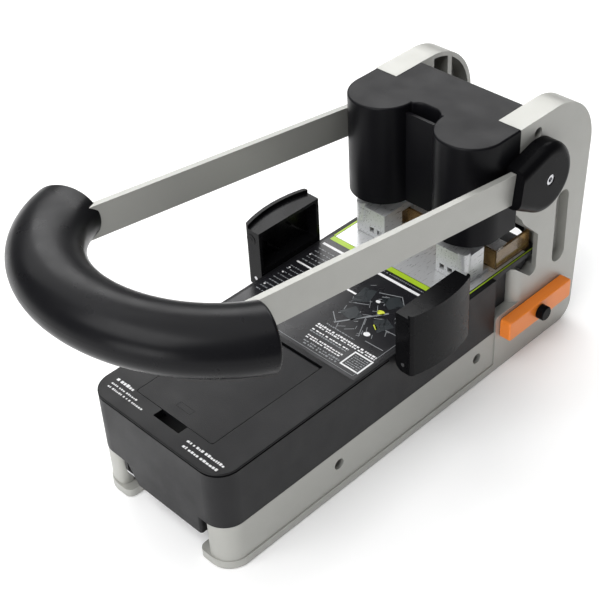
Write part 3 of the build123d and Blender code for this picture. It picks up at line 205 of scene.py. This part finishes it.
frame_paint = painted("frame_paint", (0.42, 0.42, 0.395), 0.42)
steel = metal("steel", (0.55, 0.55, 0.57), 0.32, (1, 0.08, 1))
bright_steel = metal("bright_steel", (0.82, 0.82, 0.84), 0.22, (1, 1, 0.1), 0.04)
zinc = metal("zinc", (0.62, 0.63, 0.64), 0.3, (1, 0.2, 1), 0.03, metallic=0.4)
screw_steel = metal("screw_steel", (0.62, 0.62, 0.64), 0.25)
black_paint = moulded("black_paint", (0.010, 0.010, 0.011), 0.42, 900.0, shine=0.25)
housing_plastic = moulded("housing_plastic", (0.005, 0.005, 0.006), 0.44, 1800.0, 0.45, shine=0.25)
cover_plastic = moulded("cover_plastic", (0.003, 0.003, 0.004), 0.36, 2200.0, 0.08, shine=0.10)
hub_plastic = moulded("hub_plastic", (0.002, 0.002, 0.0025), 0.30, shine=0.05)
gloss_black = moulded("gloss_black", (0.003, 0.003, 0.0035), 0.26, 400.0, 0.03, shine=0.09)
grip_rubber = moulded("grip_rubber", (0.005, 0.005, 0.006), 0.30, 1500.0, 0.05, shine=0.13)
pad_rubber = moulded("pad_rubber", (0.02, 0.02, 0.02), 0.7)
label_black = moulded("label_black", (0.009, 0.009, 0.011), 0.28, 300.0, 0.02, shine=0.3)
orange_plastic = moulded("orange_plastic", (0.80, 0.215, 0.025), 0.33, 900.0, 0.06)
amber_plastic = moulded("amber_plastic", (0.42, 0.27, 0.11), 0.12, 500.0, 0.02, clear=0.75)
white_ink = moulded("white_ink", (0.72, 0.72, 0.73), 0.45, 900.0, 0.05)
grey_ink = moulded("grey_ink", (0.20, 0.21, 0.22), 0.45, 900.0, 0.05)
dark_ink = moulded("dark_ink", (0.018, 0.022, 0.025), 0.35, 900.0, 0.05)
yellow_ink = moulded("yellow_ink", (0.55, 0.60, 0.05), 0.42, 900.0, 0.05)
green_ink = moulded("green_ink", (0.33, 0.49, 0.02), 0.42, 900.0, 0.05)

SLOT_MATERIALS = {
    "frame_paint": frame_paint, "arm_paint": frame_paint, "steel": steel, "bright_steel": zinc,
    "screws": screw_steel, "black_plate": black_paint, "housing_plastic": housing_plastic,
    "cover_plastic": cover_plastic, "hub_plastic": hub_plastic, "gloss_black": gloss_black,
    "label_film": label_black, "amber_plastic": amber_plastic, "orange_plastic": orange_plastic,
    "grip_rubber": grip_rubber, "rubber": pad_rubber}
NODE_MATERIALS = {"table_plate": zinc, "left_punch": bright_steel, "right_punch": bright_steel,
                  "guide_posts": bright_steel, "rail_screws": black_paint, "tie_rod_screws": black_paint}
EDGE_WIDTHS = {                # rounding of the sharp edges, mm
    "left_frame": 1.3, "right_frame": 1.3, "left_arm": 0.8, "right_arm": 0.8, "base_housing": 0.5,
    "left_side_guide": 0.9, "right_side_guide": 0.9, "head_cover": 0.9, "left_hub": 0.7, "right_hub": 0.7,
    "lid": 0.4, "left_presser_foot": 0.5, "right_presser_foot": 0.5, "drawer_front": 0.4,
    "drawer_knob": 0.5, "rear_brace": 0.6, "grip": 0.6, "storage_tray": 0.5, "chip_drawer": 0.4}

for part in frame["record"]["subparts"]:
    node = nodes[part["node"]]
    node.data.materials.clear()
    node.data.materials.append(NODE_MATERIALS.get(part["node"], SLOT_MATERIALS[part["material_slot"]]))
    if part["node"] in EDGE_WIDTHS:
        rounding = node.modifiers.new("edges", "BEVEL")
        rounding.width = EDGE_WIDTHS[part["node"]] / 1000
        rounding.segments = 3
        rounding.limit_method = "ANGLE"
        rounding.angle_limit = math.radians(40)


# ------------------------------------------------------------ small pieces
TABLE = 88.0
INK = 0.12                    # ink stands this far above what it is printed on, mm
INK_DEPTH = 0.25              # and reaches this far into it


def link(name, mesh_data, material, body):
    mesh = bpy.data.meshes.new(name)
    bmesh.ops.recalc_face_normals(mesh_data, faces=mesh_data.faces)
    mesh_data.to_mesh(mesh)
    mesh_data.free()
    mesh.materials.append(material)
    piece = bpy.data.objects.new(name, mesh)
    bpy.context.scene.collection.objects.link(piece)
    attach(piece, body)
    return piece


def add_prism(mesh_data, outline, low, high, place=None):
    """A closed prism over an outline in millimetres; place maps (x, y, z) to millimetres in the frame."""
    place = place or (lambda x, y, z: (x, y, z))
    rings = []
    for level in (low, high):
        rings.append([mesh_data.verts.new(Vector(place(x, y, level)) / 1000) for x, y in outline])
    count = len(outline)
    mesh_data.faces.new(list(reversed(rings[0])))
    mesh_data.faces.new(rings[1])
    for i in range(count):
        j = (i + 1) % count
        mesh_data.faces.new((rings[0][i], rings[0][j], rings[1][j], rings[1][i]))


def block_outline(x0, y0, x1, y1):
    return [(x0, y0), (x1, y0), (x1, y1), (x0, y1)]


def stroke_outline(start, end, width):
    along = Vector(end) - Vector(start)
    side = Vector((-along.y, along.x)).normalized() * width / 2
    corners = (Vector(start) - side, Vector(end) - side, Vector(end) + side, Vector(start) + side)
    return [tuple(corner) for corner in corners]


def round_outline(x, y, a, b, steps=24):
    turns = [2 * math.pi * i / steps for i in range(steps)]
    return [(x + a * math.cos(turn), y + b * math.sin(turn)) for turn in turns]


def printed(name, outlines, material, level=TABLE, body="base"):
    """Printed marks: thin closed plates that sit just above a level surface."""
    mesh_data = bmesh.new()
    for outline in outlines:
        add_prism(mesh_data, outline, level - INK_DEPTH, level + INK)
    return link(name, mesh_data, material, body)


def dash_row(dice, x0, x1, y, height, shortest=0.9, longest=2.4, gap=0.7):
    """Marks that stand for a line of small print."""
    marks, x = [], x0
    while x < x1:
        length = min(dice.uniform(shortest, longest), x1 - x + 0.2)
        lift = dice.uniform(0.0, 0.35) * height
        marks.append(block_outline(x, y - height / 2, x + length, y + height / 2 - lift))
        x += length + gap * (1 if dice.random() < 0.8 else 2.5)
    return marks


def print_label():
    """The table label: headings, lines of small print, a square frame and a sketch of strokes."""
    dice = random.Random(7)
    white = [block_outline(-60.0, 61.4, 41.0, 63.8), block_outline(-59.0, 33.0, 0.8, 34.6)]
    for x0, y0, x1, y1 in ((43.3, -28.0, 60.3, -26.8), (43.3, -13.2, 60.3, -12.0),
                           (43.3, -26.8, 44.5, -13.2), (59.1, -26.8, 60.3, -13.2)):
        white.append(block_outline(x0, y0, x1, y1))
    white += dash_row(dice, 3.6, 58.5, -7.6, 1.7, 1.0, 2.6) + dash_row(dice, 3.6, 58.5, -9.9, 1.3, 1.0, 2.6)
    white += dash_row(dice, 6.5, 39.0, -20.6, 1.3) + dash_row(dice, 6.5, 39.0, -22.8, 1.3)
    white += dash_row(dice, 4.2, 38.5, -14.0, 1.2)
    white += [round_outline(18.4, 38.0, 1.9, 1.5, 12), round_outline(36.6, 6.4, 2.6, 2.2, 14)]
    white += [round_outline(-57.5, y, 0.8, 0.8, 10) for y in (-1.0, 17.5, 24.5, 46.0)]
    printed("label_print_white", white, white_ink)
    grey = dash_row(dice, 4.2, 38.5, -16.2, 1.3) + dash_row(dice, 8.0, 41.5, -26.2, 1.4)
    grey += dash_row(dice, 10.0, 41.5, -28.6, 1.4) + dash_row(dice, 8.0, 34.0, -3.6, 1.0)
    grey += dash_row(dice, -38.0, 38.0, 67.2, 1.1, 0.6, 1.4)
    for row in range(9):
        grey += dash_row(dice, -59.0, -43.0, -8.0 + 4.4 * row, 1.0)
    for row in range(5):
        grey += dash_row(dice, -58.0, -42.0, 38.5 + 4.4 * row, 1.2)
    for row in range(6):
        grey += dash_row(dice, 46.0, 58.0, -25.0 + 2.0 * row, 1.0, 0.8, 2.0, 0.5)
    for start, end, width in (((10.7, 0.7), (23.5, 19.5), 1.2), ((23.5, 19.5), (33.0, 33.0), 1.5),
                              ((2.0, 9.0), (11.0, 2.0), 0.6), ((33.9, 0.8), (24.1, 18.7), 0.5),
                              ((40.7, 0.4), (56.5, 0.9), 0.6), ((43.1, 17.9), (58.6, 19.0), 0.6),
                              ((58.9, -31.0), (59.3, 58.5), 0.35), ((-59.0, -31.6), (58.6, -31.4), 0.35),
                              ((12.0, 46.0), (28.0, 53.0), 0.6), ((28.0, 53.0), (38.0, 44.0), 0.6),
                              ((38.0, 44.0), (43.0, 30.0), 0.6), ((3.0, 24.0), (16.0, 31.0), 0.5)):
        grey.append(stroke_outline(start, end, width))
    for _ in range(46):
        x, y = dice.uniform(2.0, 50.0), dice.uniform(-1.0, 52.0)
        turn, half = dice.choice((0.62, 0.7, 2.0, 2.2)) + dice.uniform(-0.1, 0.1), dice.uniform(1.2, 4.2)
        reach = Vector((math.cos(turn), math.sin(turn))) * half
        grey.append(stroke_outline((x - reach.x, y - reach.y), (x + reach.x, y + reach.y), dice.uniform(0.3, 0.6)))
    printed("label_print_grey", grey, grey_ink)
    dark = [[(5, 12), (18, 10), (22, 18), (10, 24)], [(3, 26), (14, 33), (10, 46), (0, 44)],
            [(30, 20), (41, 12), (46, 24), (36, 28)], [(18, 42), (30, 36), (36, 46), (26, 52)]]
    printed("label_print_dark", dark, dark_ink)
    yellow = [round_outline(28.2, 30.0, 3.1, 2.4), stroke_outline((33.6, 17.4), (38.4, 14.4), 1.8)]
    printed("label_print_yellow", yellow, yellow_ink)
    green = [block_outline(-60.0, 69.6, 40.5, 74.4)]
    printed("label_print_green", green, green_ink)


def print_table_edges():
    lines = [block_outline(60.0, 86.7, 61.0, 165.0), block_outline(-61.0, 75.0, -59.4, 165.0)]
    printed("table_edge_lines", lines, green_ink)


def print_housing():
    dice = random.Random(11)
    marks = dash_row(dice, -56.0, -38.8, -139.0, 2.6, 1.6, 3.0)
    marks += dash_row(dice, -55.8, -30.0, -144.0, 1.5, 0.7, 1.6)
    marks += dash_row(dice, -55.6, -20.5, -147.6, 1.5, 0.7, 1.6)
    marks += dash_row(dice, 23.3, 57.6, -146.2, 2.1, 1.0, 2.4)
    marks += dash_row(dice, 24.5, 57.0, -151.2, 2.1, 1.0, 2.4)
    printed("housing_print", marks, white_ink)


def front_view(x, z, y):
    """Places an outline drawn in x and z, standing upright."""
    return x, y, z


BOSS_X, BOSS_Z = 74.0, 116.7
BOSS_RINGS = ((4.2, 32, 3.35), (1.6, 20, 3.15))    # radius, sides and front face of each step
BOSS_BACK = 4.6


def build_guide_bosses():
    for side, s in (("left", -1), ("right", 1)):
        mesh_data = bmesh.new()
        for radius, sides, front in BOSS_RINGS:
            outline = round_outline(s * BOSS_X, BOSS_Z, radius, radius, sides)
            add_prism(mesh_data, outline, front, BOSS_BACK, front_view)
        link(side + "_guide_boss", mesh_data, gloss_black, side + "_guide")


def build_lid_mark():
    bars = [block_outline(-7.6, -129.6, 6.4, -129.0), block_outline(-7.6, -125.2, 6.4, -124.6),
            block_outline(-7.6, -129.0, -7.0, -125.2), block_outline(5.8, -129.0, 6.4, -125.2)]
    printed("lid_mark", bars, housing_plastic, TABLE, "lid")


print_label()
print_table_edges()
print_housing()
build_guide_bosses()
build_lid_mark()
